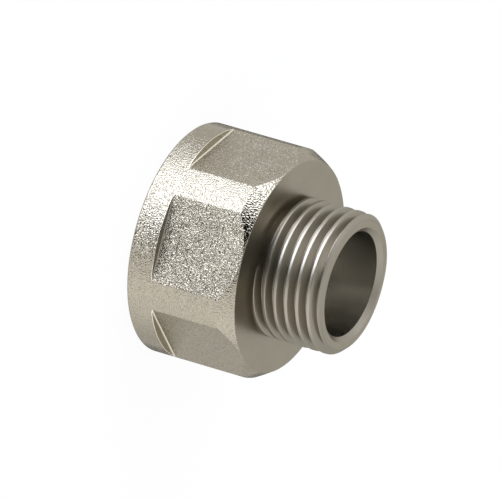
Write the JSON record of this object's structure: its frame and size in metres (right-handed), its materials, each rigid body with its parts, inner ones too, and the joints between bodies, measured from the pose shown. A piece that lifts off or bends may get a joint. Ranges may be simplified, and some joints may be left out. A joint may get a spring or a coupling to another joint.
{
  "type": "reducing pipe adapter",
  "caption": "Plated brass reducing pipe adapter: round collar and hexagonal body with a threaded socket below, and a shorter threaded spigot with a through bore above.",
  "frame": {"origin": "centre of the socket's rim, on which the adapter stands", "axes": "+Z along the pipe axis from the socket to the spigot's end, -Y out of one spanner flat"},
  "size_m": [0.034, 0.034, 0.0276],
  "materials": {
    "plated_brass": "satin nickel plate over brass: spanner flats blasted, turned faces smooth"
  },
  "bodies": {
    "root": {"adapter_body": "plated_brass"}
  },
  "joints": []
}
